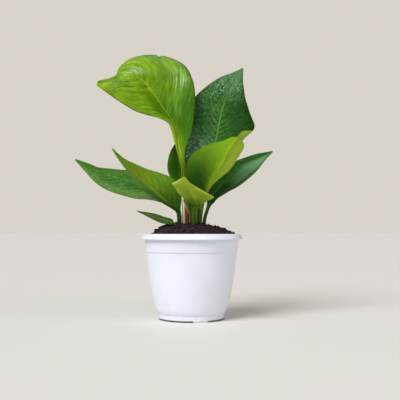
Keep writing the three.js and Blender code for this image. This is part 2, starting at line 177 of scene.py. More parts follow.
# Pot: one injection-moulded white plastic pot. The lip slants outwards under a thin rounded rim, a band
# runs under it, the body tapers to a low base ring with three low feet, and the floor has drain holes.
POT_SIDES = 120
POT_OUTSIDE = [
    (36.5, 1.2), (41.4, 1.2), (41.4, 7.2), (42.4, 8.2), (44.4, 11.5), (46.5, 17.4), (48.6, 25.5),
    (50.7, 36.5), (52.9, 48.5), (54.8, 62), (56.8, 79.7), (57.1, 84.8), (58.1, 85.4), (59.9, 104.8),
    (63.5, 101.6), (65, 101.3), (61.6, 107.2), (60.6, 108),
]
POT_PAD = [(0.5, 0), (12, 0), (13, 1.2)]
POT_INSIDE = [
    (58.9, 108), (58, 104.8), (55.2, 84.8), (54.9, 80), (52.9, 62.3), (51, 48.8), (48.8, 36.8), (46.7, 25.8),
    (44.6, 17.7), (42.5, 11.8), (39.5, 7.2), (37.5, 3.2), (1, 3.2),
]
POT_EDGE_ROUND = 0.5
POT_FEET = {"count": 3, "first": -73, "spread": 26, "height": 1.2, "inner": 36.5}
POT_DRAINS = {"count": 6, "radius": 4.5, "ring": 27, "middle": 2, "depth": 8, "sides": 24}
POT_WHITE = (0.765, 0.795, 0.895, 1)
POT_MARKING_GREY = (0.50, 0.47, 0.43, 1)
POT_STAIN_AND_SHADE = (0.07, 0.045, 0.04, 1)


def pick(*pieces):
    """Selects these pieces alone, with the first one active."""
    bpy.ops.object.select_all(action="DESELECT")
    for piece in pieces:
        piece.select_set(True)
    bpy.context.view_layer.objects.active = pieces[0]


def close_up():
    """Closes the open ends of the mesh in edit mode, turns its faces outwards and leaves edit mode."""
    bpy.ops.mesh.select_all(action="SELECT")
    bpy.ops.mesh.fill_holes(sides=0)
    bpy.ops.mesh.normals_make_consistent(inside=False)
    bpy.ops.mesh.select_all(action="DESELECT")
    bpy.ops.object.mode_set(mode="OBJECT")


def turned(name, profile, sides):
    """Raises a round body from one ring of points: each next ring is extruded and scaled to its radius."""
    radius, height = profile[0]
    bpy.ops.mesh.primitive_circle_add(vertices=sides, radius=radius * MM, location=(0, 0, height * MM))
    made = bpy.context.object
    made.name = name
    bpy.ops.object.transform_apply(location=True)
    bpy.ops.object.mode_set(mode="EDIT")
    bpy.ops.mesh.select_all(action="SELECT")
    for next_radius, next_height in profile[1:]:
        rise = (next_height - height) * MM
        bpy.ops.mesh.extrude_region_move(TRANSFORM_OT_translate={"value": (0, 0, rise)})
        widen = next_radius / radius
        bpy.ops.transform.resize(value=(widen, widen, 1), center_override=(0, 0, next_height * MM))
        radius, height = next_radius, next_height
    close_up()
    return made


def finish_with(piece, kind, **settings):
    """Adds a modifier with these settings and applies it."""
    modifier = piece.modifiers.new(kind.title(), kind)
    for key, value in settings.items():
        setattr(modifier, key, value)
    bpy.context.view_layer.objects.active = piece
    bpy.ops.object.modifier_apply(modifier=modifier.name)


def between(value, low, high, start=0, end=1):
    """Runs smoothly from start to end while the value goes from low to high."""
    limits = (low, high, start, end)
    return node(value.tree, "MapRange", value, *limits, interpolation_type="SMOOTHSTEP")


def mixed(share, first, second):
    """The first colour where share is 0, the second where it is 1."""
    made = share.tree.nodes.new("ShaderNodeMix")
    made.data_type = "RGBA"
    for index, value in ((0, share), (6, first), (7, second)):
        feed(made.inputs[index], value)
    return Value(made.outputs[2])


def part(place, axis):
    return node(place.tree, "SeparateXYZ", place, out=axis)


def grain(place, scale, detail=3, roughness=0.55):
    return node(place.tree, "TexNoise", place, Scale=scale, Detail=detail, Roughness=roughness)


def add_bump(inputs, height, distance, strength):
    bump = node(height.tree, "Bump", Height=height, Distance=distance, Strength=strength)
    feed(inputs["Normal"], bump)


def pot_plastic():
    """Bluish white satin plastic with faint marks, darker towards the foot, and a band along the bottom edge
    between the feet that is partly soiled and partly painted shade of the gap under the ring.
    """
    material, tree, inputs = new_finish("pot_plastic", 0.42)
    place = node(tree, "TexCoord", out="Object")
    height = part(place, "Z")
    smears = between(grain(place, 24, 4, 0.5), 0.5, 0.8)
    specks = between(grain(place, 900, 2), 0.62, 0.72) * 0.5
    # The plastic darkens towards the foot, broken up by noise.
    foot_darkening = between(height, 16 * MM, 0) * 0.35 * grain(place, 130)
    white = mixed((smears + specks) * 0.16 + foot_darkening, POT_WHITE, POT_MARKING_GREY)
    turn = calc("ARCTAN2", part(place, "Y"), part(place, "X")) - math.radians(POT_FEET["first"])
    near_foot = calc("COSINE", turn * POT_FEET["count"])
    # Partly soiling, partly painted shade: the bottom edge is darker, most between the feet, where the gap
    # under the ring is shaded.
    stain_and_shade = between(height, 2.5 * MM, 1.6 * MM) * between(near_foot, 0.85, 0.7, 0.2, 0.9)
    feed(inputs["Base Color"], mixed(stain_and_shade, white, POT_STAIN_AND_SHADE))
    feed(inputs["Roughness"], between(grain(place, 30, 4), 0.3, 0.7, 0.36, 0.5))
    add_bump(inputs, grain(place, 60, 2), 0.15 * MM, 0.35)
    return material


pot = turned("pot_shell", [*POT_PAD, *POT_OUTSIDE, *POT_INSIDE], POT_SIDES)
for face in pot.data.polygons:
    radius = math.hypot(face.center.x, face.center.y) / MM
    angle = math.degrees(math.atan2(face.center.y, face.center.x)) - POT_FEET["first"]
    turn = 360 / POT_FEET["count"]
    off = abs((angle + turn / 2) % turn - turn / 2)
    on_ring = face.normal.z < -0.9 and radius > POT_FEET["inner"] and face.center.z < 2 * MM
    face.select = on_ring and off < POT_FEET["spread"] / 2
bpy.ops.object.mode_set(mode="EDIT")
bpy.ops.mesh.extrude_region_move(TRANSFORM_OT_translate={"value": (0, 0, -POT_FEET["height"] * MM)})
bpy.ops.object.mode_set(mode="OBJECT")

drills = []
for index in range(POT_DRAINS["count"]):
    angle = (index + 0.5) * 2 * math.pi / POT_DRAINS["count"]
    reach = POT_DRAINS["ring"] * MM
    centre = (reach * math.cos(angle), reach * math.sin(angle), POT_DRAINS["middle"] * MM)
    size = {"radius": POT_DRAINS["radius"] * MM, "depth": POT_DRAINS["depth"] * MM}
    bpy.ops.mesh.primitive_cylinder_add(vertices=POT_DRAINS["sides"], location=centre, **size)
    drills.append(bpy.context.object)
pick(*drills)
bpy.ops.object.join()
drill = bpy.context.object
finish_with(pot, "BOOLEAN", object=drill, operation="DIFFERENCE", solver="EXACT")
bpy.data.objects.remove(drill)
rounding = {"width": POT_EDGE_ROUND * MM, "segments": 3}
finish_with(pot, "BEVEL", limit_method="ANGLE", angle_limit=math.radians(28), **rounding)
pick(pot)
bpy.ops.object.shade_smooth_by_angle(angle=math.radians(40))
pot.data.materials.append(pot_plastic())
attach(pot, "root")
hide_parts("pot")

# Soil: a moist, dark mix of peat and fine bark, filled to just under the rim and heaped round the stalks.
# It is a loose mass that takes the pot's shape, with crumbs and bark chips lying on top.
SOIL_SIDES = 144
SOIL_BODY = [
    (1, 3.5), (37.2, 3.5), (39.2, 7.8), (42.2, 11.8), (44.3, 17.7), (46.4, 25.8), (48.5, 36.8), (50.7, 48.8),
    (52.6, 62.3), (54.6, 80), (54.9, 84.8), (57.7, 104.8), (57.3, 106.6),
]
SOIL_TOP = [
    (52, 108.8), (48, 111.7), (44, 114.1), (38, 116.2), (31, 117.9), (22, 119.6), (12, 121.2), (0.6, 121.6),
]
SOIL_RINGS = 54
SOIL_SHIFT = 3
SOIL_EDGE = 106.6
SOIL_LUMPS = 2.2
SOIL_GRAINS = ((6.0, 0.7), (2.4, 0.55), (1.1, 0.3))
SOIL_SUNK_AT = (-50, -40, -8, 25)
SOIL_SUNK = (2.5, 0, 0, 3)
SOIL_DARK = (0.007, 0.004, 0.007, 1)
SOIL_BROWN = (0.074, 0.040, 0.052, 1)
CRUMBS = {"count": 900, "reach": 54, "size": (0.5, 2.4), "flat": 0.9}
BARK_CHIPS = {"count": 70, "reach": 48, "size": (1.2, 2.4), "flat": 0.45}
LUMPS = [
    (21.9, -8.5, 2.6), (20, -9.5, 1.7), (41.3, 2, 2.8), (43.5, 2, 1.7), (29, -19, 1.7), (33, -17, 1.9),
    (36.6, -19.5, 1.5), (48.6, -3.5, 1.6), (-44.6, -14, 1.7), (-40, -7, 1.8),
]
random.seed(7)


def soil_height(x, y):
    """The mound's surface under a point, in millimetres, with its broad lumps and fine crumb."""
    radius = math.hypot(x - SOIL_SHIFT, y)
    angle = math.atan2(y, x - SOIL_SHIFT)
    radii = [r for r, z in reversed(SOIL_TOP)] + [SOIL_BODY[-1][0]]
    heights = [z for r, z in reversed(SOIL_TOP)] + [SOIL_EDGE]
    broad = math.sin(3 * angle + 4.4)
    fine = 0.6 * math.sin(7 * angle + radius / 6) + 0.5 * math.cos(5 * angle - radius / 9)
    lumps = SOIL_LUMPS * (broad + fine) * min(1, radius / 20) / 2
    crumbly = sum(rise * noise.noise(Vector((x / size, y / size, size))) for size, rise in SOIL_GRAINS)
    sunk = float(np.interp(x, SOIL_SUNK_AT, SOIL_SUNK))
    edge = min(1.0, max(0.0, (SOIL_BODY[-1][0] - radius) / 6))
    return float(np.interp(radius, radii, heights)) + (lumps + crumbly - sunk) * edge


def soil_finish():
    """Dark wet crumbs in two browns, with a rough broken surface and a little gloss on the wet grains."""
    material, tree, inputs = new_finish("potting_soil", 0.85, 0.35)
    place = node(tree, "TexCoord", out="Object")
    coarse = grain(place, 420, 5, 0.65)
    fine = grain(place, 1600, 3, 0.6)
    feed(inputs["Base Color"], mixed(between(coarse * fine, 0.17, 0.36), SOIL_DARK, SOIL_BROWN))
    feed(inputs["Roughness"], between(fine, 0.35, 0.65, 0.95, 0.6))
    add_bump(inputs, coarse + fine, 0.5 * MM, 0.8)
    return material


def scattered(name, model, count, reach, size, flat, chosen=()):
    """Copies of one small shape, turned and sized at random, sunk a little into the mound and joined."""
    spots = []
    for _ in range(count):
        distance = reach * math.sqrt(random.random())
        angle = random.uniform(0, 2 * math.pi)
        x = SOIL_SHIFT + distance * math.cos(angle)
        spots.append((x, distance * math.sin(angle), random.uniform(*size) * random.uniform(0.6, 1)))
    copies = []
    for x, y, grown in [*spots, *chosen]:
        copy = bpy.data.objects.new(name, model.data.copy())
        copy.scale = [grown * MM * random.uniform(0.75, 1.3) for _ in range(3)]
        copy.scale.z *= flat
        copy.rotation_euler = [random.uniform(-0.5, 0.5), random.uniform(-0.5, 0.5), random.uniform(0, 6.3)]
        copy.location = (x * MM, y * MM, (soil_height(x, y) + 0.25 * grown * flat) * MM)
        scene.collection.objects.link(copy)
        copies.append(copy)
    pick(*copies)
    bpy.ops.object.join()
    joined = bpy.context.object
    joined.name = name
    bpy.ops.object.transform_apply(location=True, rotation=True, scale=True)
    bpy.data.objects.remove(model)
    joined.data.materials.append(soil_material)
    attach(joined, "root")


soil_material = soil_finish()
ring_radii = np.linspace(SOIL_TOP[0][0], SOIL_TOP[-1][0], SOIL_RINGS)
rings = [(float(r), SOIL_EDGE + 1) for r in ring_radii]
soil = turned("soil_mound", [*SOIL_BODY, *rings], SOIL_SIDES)
for vertex in soil.data.vertices:
    if vertex.co.z > (SOIL_EDGE + 0.5) * MM:
        vertex.co.x += SOIL_SHIFT * MM
        vertex.co.z = soil_height(vertex.co.x / MM, vertex.co.y / MM) * MM
bpy.ops.object.shade_smooth()
soil.data.materials.append(soil_material)
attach(soil, "root")
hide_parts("soil")

bpy.ops.mesh.primitive_ico_sphere_add(subdivisions=2, radius=1)
crumb = bpy.context.object
for vertex in crumb.data.vertices:
    vertex.co *= 1 + 0.5 * noise.noise(vertex.co * 1.7)
scattered("soil_crumbs", crumb, **CRUMBS, chosen=LUMPS)

bpy.ops.mesh.primitive_cube_add(size=1)
chip = bpy.context.object
finish_with(chip, "BEVEL", width=0.12, segments=1)
for vertex in chip.data.vertices:
    vertex.co.x *= 2.2
scattered("bark_chips", chip, **BARK_CHIPS)

# Crown and roots: the short thick stem that all the stalks grow from, ringed with old leaf scars, and the
# stout pale-brown roots that hold it in the soil. It grew as one piece and is all but buried.
CROWN = {"x": 2, "y": 3, "radius": 6.2, "foot": 92, "top": 125, "sides": 40}
ROOTS = {"count": 7, "radius": 2.1, "tip": 1.1, "reach": 34, "depth": 52}
CROWN_SCARS = 7
CROWN_BROWN = (0.17, 0.12, 0.06, 1)
CROWN_GREEN = (0.16, 0.20, 0.05, 1)


def crown_finish():
    """Corky brown, greener towards the top, with fine rings."""
    material, tree, inputs = new_finish("crown_cork", 0.8)
    place = node(tree, "TexCoord", out="Object")
    height = part(place, "Z")
    green = between(height, 110 * MM, 125 * MM) * grain(place, 180)
    feed(inputs["Base Color"], mixed(green, CROWN_BROWN, CROWN_GREEN))
    add_bump(inputs, calc("SINE", height * 5200) * 0.2 + grain(place, 500, 4), 0.3 * MM, 0.7)
    return material


crown_rings = [(1.2, CROWN["foot"] - 3.8), (CROWN["radius"] * 0.6, CROWN["foot"] - 3)]
for step in range(CROWN_SCARS + 1):
    height = CROWN["foot"] + 3 + step * (CROWN["top"] - CROWN["foot"] - 8) / CROWN_SCARS
    crown_rings += [(CROWN["radius"] - 0.35, height - 0.7), (CROWN["radius"], height + 0.4)]
crown_rings += [(CROWN["radius"] * 0.75, CROWN["top"] - 2), (1.2, CROWN["top"] - 0.1)]
crown = turned("crown", crown_rings, CROWN["sides"])
for vertex in crown.data.vertices:
    vertex.co.x += CROWN["x"] * MM
    vertex.co.y += CROWN["y"] * MM
root_pieces = [crown]
for index in range(ROOTS["count"]):
    turn = (index + 0.3) * 2 * math.pi / ROOTS["count"]
    reach = ROOTS["reach"] * (0.75 + 0.25 * math.cos(2.3 * index))
    # Each stop: how far out from the crown's axis, how high, how far the root swings aside, how thick.
    stops = [
        (1, CROWN["foot"] + 3, 0, ROOTS["radius"]),
        (CROWN["radius"] + 3, CROWN["foot"] - 3, 0.1, ROOTS["radius"]),
        (reach * 0.7, CROWN["foot"] - ROOTS["depth"] * 0.4, 0.3, 1.6),
        (reach, CROWN["foot"] - ROOTS["depth"], 0.1, ROOTS["tip"]),
    ]
    line = bpy.data.curves.new("root", "CURVE")
    line.dimensions = "3D"
    line.bevel_depth = MM
    line.bevel_resolution = 3
    line.use_fill_caps = True
    path = line.splines.new("NURBS")
    path.points.add(len(stops) - 1)
    path.use_endpoint_u = True
    path.order_u = 3
    for point, (distance, height, swing, thick) in zip(path.points, stops):
        x = CROWN["x"] + distance * math.cos(turn + swing)
        y = CROWN["y"] + distance * math.sin(turn + swing)
        point.co = (x * MM, y * MM, height * MM, 1)
        point.radius = thick
    root = bpy.data.objects.new("root", line)
    scene.collection.objects.link(root)
    pick(root)
    bpy.ops.object.convert(target="MESH")
    root_pieces.append(bpy.context.object)
pick(*root_pieces)
bpy.ops.object.join()
bpy.ops.object.shade_smooth_by_angle(angle=math.radians(50))
crown.data.materials.clear()
crown.data.materials.append(crown_finish())
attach(crown, "root")
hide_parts("crown_and_roots")

# Sheath: the dry papery bract that once wrapped the tallest leaf in bud. It clings to the front of the
# stalk's foot, cream at its edge, red-brown in the middle, with a torn top.
SHEATH = {"x": -5.4, "y": -5, "radius": 6.2, "flare": 0.014, "foot": 108, "from": 168, "to": 306}
SHEATH_TOP = [153, 152.5, 152, 151, 149.5, 147, 143, 142, 138, 135, 130]
SHEATH_PAPER = 0.35
SHEATH_COLUMNS = 60
SHEATH_ROWS = 50
SHEATH_CREAM = (0.92, 0.87, 0.64, 1)
SHEATH_TAN = (0.22, 0.12, 0.04, 1)
SHEATH_RED = (0.10, 0.028, 0.005, 1)


def stretched(place, scale, shift=(0, 0, 0)):
    """A place scaled and then moved."""
    return node(place.tree, "Mapping", place, Scale=scale, Location=shift)


def sheath_finish():
    """Dry fibre: cream at the left edge, tan and red-brown across, streaked lengthwise."""
    material, tree, inputs = new_finish("dry_sheath", 0.7, 0.2)
    sheet = node(tree, "UVMap", uv_map="UVMap")
    side = part(sheet, "X")
    up = part(sheet, "Y")
    fibre = grain(stretched(sheet, (38, 2.2, 1)), 1, 4)
    across = side + fibre * 0.18
    shade = mixed(between(across, 0.54, 0.64), SHEATH_CREAM, SHEATH_TAN)
    shade = mixed(between(across, 0.62, 0.76) * between(up, 0.98, 0.75), shade, SHEATH_RED)
    shade = mixed(between(fibre, 0.5, 0.7) * 0.3, shade, SHEATH_TAN)
    edge = calc("MAXIMUM", between(up, 0.93, 0.99), between(side, 0.9, 0.97))
    feed(inputs["Base Color"], mixed(edge * 0.45, shade, SHEATH_CREAM))
    add_bump(inputs, fibre, 0.25 * MM, 0.8)
    return material


bpy.ops.mesh.primitive_grid_add(x_subdivisions=SHEATH_COLUMNS, y_subdivisions=SHEATH_ROWS, size=1)
sheath = bpy.context.object
sheath.name = "sheath_wrap"
top_stops = np.linspace(0, 1, len(SHEATH_TOP))
for vertex in sheath.data.vertices:
    across = vertex.co.x + 0.5
    up = vertex.co.y + 0.5
    torn = 0.9 * noise.noise(Vector((across * 22, 3.1, 0))) + 0.5 * noise.noise(Vector((across * 60, 8.4, 0)))
    top = float(np.interp(across, top_stops, SHEATH_TOP)) + torn
    rise = up * (top - SHEATH["foot"])
    angle = math.radians(SHEATH["from"] + across * (SHEATH["to"] - SHEATH["from"]))
    wrinkle = 0.12 * noise.noise(Vector((across * 14, up * 3, 1.7)))
    radius = SHEATH["radius"] + SHEATH["flare"] * rise + wrinkle
    x = SHEATH["x"] + radius * math.cos(angle)
    y = SHEATH["y"] + radius * math.sin(angle)
    vertex.co = (x * MM, y * MM, (SHEATH["foot"] + rise) * MM)
finish_with(sheath, "SOLIDIFY", thickness=SHEATH_PAPER * MM, offset=0)
bpy.ops.object.shade_smooth_by_angle(angle=math.radians(60))
sheath.data.materials.append(sheath_finish())
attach(sheath, "root")
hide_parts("sheath")

# Leaves: each grew as one piece, a fleshy stalk that flattens into a leathery blade with a raised midrib
# below, side veins that curve towards the tip and a thin waved margin. This first one is the tallest. It
# is young and bright green, and arches over to the left with its blunt tip forward.
LEAF_COLUMNS = 96
STALK_ROWS = 16
BLADE_THICK = 0.6
ROUND_UNTIL = 0.14
BELLY_SHAPE = 27 / 4
LENGTH_STEPS = 400
SPAN_UNIT = 0.1
FOOT_SHADE = (0.014, 0.017, 0.004, 1)
LEAF_COLOURS = ("upper", "deep", "vein", "rib", "under", "under_deep", "margin", "stalk_light", "stalk_dark")
# What a leaf has where its own section doesn't say otherwise. Lengths are in millimetres.
USUAL_LEAF = {
    "belly": 0.1, "waves": 2.5, "wave_height": 0.8, "tip_width": 1.4, "vein_lean": (0.34, 0.34),
    "vein_curve": 1.2, "rib_groove": 0.45, "blister": 0, "shape": None, "stalk_light": (84, 122, 44),
    "stalk_dark": (46, 84, 24), "gloss_under": 0.55, "sheen": 0.2, "rib_fade": (1.0, 0.6), "rib_show": 0.8,
    "rib_under": 0.5, "vein_show": 0.35, "net_scale": 48, "valleys": 0.5, "streaks": 0.3, "margin_show": 0.6,
    "cell_bump": 0.3, "bump": 0.3, "patched_below": False, "patches": [],
}


def rail(points, along):
    """Places and directions on a smooth line through the points, at steps from 0 to 1 along it."""
    points = np.asarray(points, float)
    held = np.vstack([2 * points[0] - points[1], points, 2 * points[-1] - points[-2]])
    reach = np.clip(along, 0, 1) * (len(points) - 1)
    start = np.minimum(reach.astype(int), len(points) - 2)
    w = (reach - start)[:, None]
    a, b, c, d = (held[start + k] for k in range(4))
    bend = 2 * a - 5 * b + 4 * c - d
    twist = 3 * b - a - 3 * c + d
    place = 0.5 * (2 * b + (c - a) * w + bend * w**2 + twist * w**3)
    way = 0.5 * ((c - a) + 2 * bend * w + 3 * twist * w**2)
    return place, unit(way)


def unit(vectors):
    return vectors / np.maximum(np.linalg.norm(vectors, axis=-1, keepdims=True), 1e-12)


def smooth(low, high, values):
    share = np.clip((values - low) / (high - low), 0, 1)
    return share * share * (3 - 2 * share)


def emboss(leaf, along, across, out, run):
    """How far the blade's surface is raised, in metres: quilted between side veins, grooved at the midrib.

    The phase is whole at a side vein. Side veins start in turn left and right of the midrib.
    """
    slant = np.where(across < 0, *leaf["vein_lean"])
    lean = slant * np.abs(across) ** leaf["vein_curve"]
    phase = leaf["veins"] * (along - lean) + np.where(across < 0, 0.5, 0)
    groove = np.exp(-(((phase - np.round(phase)) / 0.12) ** 2))
    swell = -np.cos(2 * np.pi * phase)
    fade = (1 - np.abs(across) ** 5) * smooth(0.0008, 0.005, np.abs(out)) * smooth(0, 0.12, along)
    fade = fade * smooth(1, 0.7, along)
    uneven = 1 + 0.4 * np.sin(23 * along + 4 * across)
    quilt = leaf["quilt"] * MM * (0.55 * swell - 0.45 * groove) * fade * uneven
    rib = -leaf["rib_groove"] * MM * np.exp(-((out / 0.0012) ** 2)) * smooth(0, 0.1, along) * (1 - along)
    if not leaf["blister"]:
        return quilt + rib
    cell = leaf["blister_size"] * MM
    puff = [noise.noise(Vector((x, y, 0.5))) for x, y in zip((out / cell).ravel(), (run / cell).ravel())]
    return quilt + rib + np.array(puff).reshape(out.shape) * leaf["blister"] * MM * fade


def blade_skin(leaf, along, across, u, edges, way, length):
    """The blade's upper and lower side as rows of points, and how far each column lies from the midrib."""
    left, rib, right = edges
    end_share = 0.3 * leaf["tip_width"] * MM / length
    tip_round = np.sqrt(1 - np.clip((along - 1 + end_share) / end_share, 0, 0.985) ** 2)[:, None]
    left_span = (left - rib) * tip_round
    right_span = (right - rib) * tip_round
    is_left = (across < 0)[:, None]
    span = np.where(is_left, left_span[:, None], right_span[:, None])
    left_up = unit(np.cross(-left_span, way))
    right_up = unit(np.cross(right_span, way))
    up = np.where(is_left, left_up[:, None], right_up[:, None])
    half = np.linalg.norm(span, axis=-1)
    out = half * across
    t = np.abs(across)
    belly = leaf["belly"] * half * BELLY_SHAPE * t * t * (1 - t)
    swing = np.sin(2 * np.pi * leaf["waves"] * u[:, None] + np.where(across < 0, -1, 1))
    wave = leaf["wave_height"] * MM * np.sin(np.pi * u)[:, None] * t * t * swing
    top = rib[:, None] + span * t[:, None] + up * (belly + wave)[..., None]

    lengthwise = np.broadcast_to(along[:, None], out.shape)
    crosswise = np.broadcast_to(across, out.shape)
    normal = unit(np.cross(np.gradient(top, axis=1), np.gradient(top, axis=0)))
    top = top + normal * emboss(leaf, lengthwise, crosswise, out, lengthwise * length)[..., None]
    if leaf["shape"]:
        top = leaf["shape"](top, lengthwise, crosswise, normal)
        normal = unit(np.cross(np.gradient(top, axis=1), np.gradient(top, axis=0)))
    thick = 0.5 * BLADE_THICK * MM * np.sqrt(np.clip(1 - t**12, 0, 1))
    rib_half = leaf["width"] * MM / 2 * (1 - 0.75 * u)[:, None]
    keel = 0.8 * leaf["depth"] * MM * ((1 - u) ** 1.3)[:, None] * np.exp(-((out / rib_half) ** 2) * 1.6)
    lower = top - normal * (thick + keel)[..., None]
    return np.concatenate([top + normal * thick[:, None], lower[:, ::-1][:, 1:]], axis=1), out


def stalk_rings(around, centres, ways, cross, width, depth):
    """Oval rings round these centres, with the stalk's shallow channel on their upper side."""
    cross = unit(cross - ways * np.sum(cross * ways, axis=-1, keepdims=True))
    rise = unit(np.cross(cross, ways))
    angle = np.pi - 2 * np.pi * around
    channel = 1 - 0.10 * np.exp(-(((angle - np.pi / 2) / 0.5) ** 2))
    sideways = cross[:, None] * (np.cos(angle) * width / 2)[:, None]
    return centres[:, None] + sideways + rise[:, None] * (np.sin(angle) * channel * depth / 2)[:, None]


def rolled_sheet(name, rings, leaf_map, span_map):
    """A closed skin over rows of points: a flat sheet rolled into a tube, with its two maps."""
    bpy.ops.mesh.primitive_grid_add(x_subdivisions=LEAF_COLUMNS, y_subdivisions=len(rings) - 1, size=1)
    made = bpy.context.object
    made.name = name
    mesh = made.data
    sheet = np.zeros(len(mesh.vertices) * 3)
    mesh.vertices.foreach_get("co", sheet)
    sheet = sheet.reshape(-1, 3) + 0.5
    columns = np.round(sheet[:, 0] * LEAF_COLUMNS).astype(int)
    rows = np.round(sheet[:, 1] * (len(rings) - 1)).astype(int)
    mesh.vertices.foreach_set("co", rings[rows, columns].ravel())
    corner = np.zeros(len(mesh.loops), int)
    mesh.loops.foreach_get("vertex_index", corner)
    mesh.uv_layers[0].name = "leaf"
    mesh.uv_layers["leaf"].data.foreach_set("uv", leaf_map[rows, columns][corner].ravel())
    mesh.uv_layers.new(name="span")
    mesh.uv_layers["span"].data.foreach_set("uv", span_map[rows, columns][corner].ravel())
    bpy.ops.object.mode_set(mode="EDIT")
    bpy.ops.mesh.select_all(action="SELECT")
    bpy.ops.mesh.remove_doubles(threshold=1e-6)
    close_up()
    bpy.ops.object.shade_smooth()
    return made


def grow_leaf(name, slot, **given):
    """One closed skin from the stalk's foot to the blade's tip.

    Its map "leaf" runs round it in X (0 to 0.5 upper side, left to right, then back underneath) and along
    it in Y (below 0 on the stalk, 0 to 1 on the blade). Its map "span" holds real distances.
    """
    leaf = {**USUAL_LEAF, "name": name, **given}
    stalk = np.array(leaf["stalk"], float) * MM
    stations = np.array(leaf["stations"], float) * MM
    tip = np.array(leaf["tip"], float) * MM
    width = leaf["width"] * MM
    depth = leaf["depth"] * MM
    foot_way = unit(stations[0, 2] - stations[0, 0])
    tip_way = unit(stations[-1, 2] - stations[-1, 0])
    rails = []
    for index, side in enumerate((-1, 0, 1)):
        start = stalk[-1] + foot_way * side * width / 2
        end = tip + tip_way * side * leaf["tip_width"] * MM / 2
        rails.append(np.vstack([start, stations[:, index], end]))

    fine = np.linspace(0, 1, LENGTH_STEPS)
    steps = np.linalg.norm(np.diff(rail(rails[1], fine)[0], axis=0), axis=1)
    lengths = np.concatenate([[0], np.cumsum(steps)])
    blade_length = lengths[-1]
    stalk_length = np.linalg.norm(np.diff(stalk, axis=0), axis=1).sum()
    along = np.linspace(0, 1, leaf["rows"] + 1)
    u = np.interp(along * blade_length, lengths, fine)
    around = np.linspace(0, 1, LEAF_COLUMNS + 1)
    across = (1 - np.abs(4 * around - 2))[: LEAF_COLUMNS // 2 + 1]

    way = rail(rails[1], u)[1]
    left, rib, right = edges = [rail(points, u)[0] for points in rails]
    blade, out = blade_skin(leaf, along, across, u, edges, way, blade_length)
    round_part = stalk_rings(around, rib, way, right - left, width, depth)
    blade = round_part + (blade - round_part) * smooth(0, ROUND_UNTIL, u)[:, None, None]
    below = np.linspace(0, 1, STALK_ROWS + 1)[:-1]
    foot_cross = rails[2][0] - rails[0][0]
    rings = np.concatenate([stalk_rings(around, *rail(stalk, below), foot_cross, width, depth), blade])

    map_rows = np.concatenate([below - 1, along])
    run_rows = np.concatenate([(below - 1) * stalk_length, along * blade_length])
    stalk_out = np.tile(-np.cos(2 * np.pi * around) * width / 2, (STALK_ROWS, 1))
    outs = np.concatenate([stalk_out, np.concatenate([out, out[:, ::-1][:, 1:]], axis=1)])
    leaf_map = np.stack(np.broadcast_arrays(around, map_rows[:, None]), axis=-1)
    span_map = np.stack(np.broadcast_arrays(outs, run_rows[:, None]), axis=-1) / SPAN_UNIT
    made = rolled_sheet(name.removeprefix("leaf_") + "_leaf", rings, leaf_map, span_map)
    made.data.materials.append(leaf_finish(leaf))
    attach(made, "root")
    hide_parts(name)


# What shows where on a leaf: its side, its midrib, side veins, net and margin, the grooves where shade
# is painted and the thin lines along which painted glints show, read from its own maps.
VEIN_INPUTS = ("Veins", "Left Lean", "Right Lean", "Curve", "Net")
vein_group = bpy.data.node_groups.new("leaf_veins", "ShaderNodeTree")
for label in VEIN_INPUTS:
    vein_group.interface.new_socket(name=label, in_out="INPUT", socket_type="NodeSocketFloat")
vein_in = vein_group.nodes.new("NodeGroupInput").outputs
veins, left_lean, right_lean, curve, net = (Value(vein_in[label]) for label in VEIN_INPUTS)
leaf_place = node(vein_group, "UVMap", uv_map="leaf")
span_place = node(vein_group, "UVMap", uv_map="span")
around = part(leaf_place, "X")
along = part(leaf_place, "Y")
across = 1 - abs(around * 4 - 2)
away = abs(across)
on_left = calc("LESS_THAN", across, 0)
lean = calc("POWER", away, curve) * (right_lean + on_left * (left_lean - right_lean))
phase = (along - lean) * veins + on_left * 0.5
off_vein = abs(phase - calc("ROUND", phase))
on_blade = between(along, 0.0, 0.1)
inner = between(away, 0.98, 0.8)
minor = phase * 4
broken = between(grain(span_place, 14, 2), 0.4, 0.62, 0.1, 0.6)
minor_line = between(abs(minor - calc("ROUND", minor)), 0.22, 0.0) * broken
side_line = calc("MAXIMUM", between(off_vein, 0.08, 0.0), minor_line) * on_blade
out_distance = abs(part(span_place, "X")) * SPAN_UNIT
fibre_place = node(vein_group, "CombineXYZ", phase * 6, away * 3.5, around)
net_edge = node(vein_group, "TexVoronoi", span_place, feature="DISTANCE_TO_EDGE", Scale=net)
puff = node(vein_group, "TexVoronoi", span_place, feature="SMOOTH_F1", Scale=net * 0.6)
wind = node(vein_group, "TexNoise", span_place, Scale=net * 0.7, Detail=2, Distortion=0.9)
vein_shows = {
    "Under": calc("GREATER_THAN", around, 0.5),
    "Along": along,
    "Across": across,
    "Rib": between(out_distance, 1.1 * MM, 0.3 * MM) * on_blade,
    "Side Veins": side_line * (inner * between(away, 0.9, 0.3, 0.35, 1)),
    "Net Veins": between(net_edge, 0.09, 0.0) * on_blade,
    "Margin": between(away, 0.955, 0.995),
    "Stalk": between(along, 0.10, -0.02),
    "Streaks": grain(fibre_place, 1.3, 4, 0.65),
    "Cells": between(puff, 0.75, 0.0),
    "Groove Shade": between(off_vein, 0.42, 0.0) * on_blade * (inner * between(along, 0.9, 0.7)),
    "Glints": between(abs(wind - 0.5), 0.045, 0.005),
}
for label in vein_shows:
    vein_group.interface.new_socket(name=label, in_out="OUTPUT", socket_type="NodeSocketFloat")
vein_out = vein_group.nodes.new("NodeGroupOutput").inputs
for label, value in vein_shows.items():
    feed(vein_out[label], value)


def tint(red, green, blue):
    """A colour named by its screen values from 0 to 255, as the shader's own linear values."""
    return (*(((c / 255 + 0.055) / 1.055) ** 2.4 if c > 10 else c / 3294.6 for c in (red, green, blue)), 1)


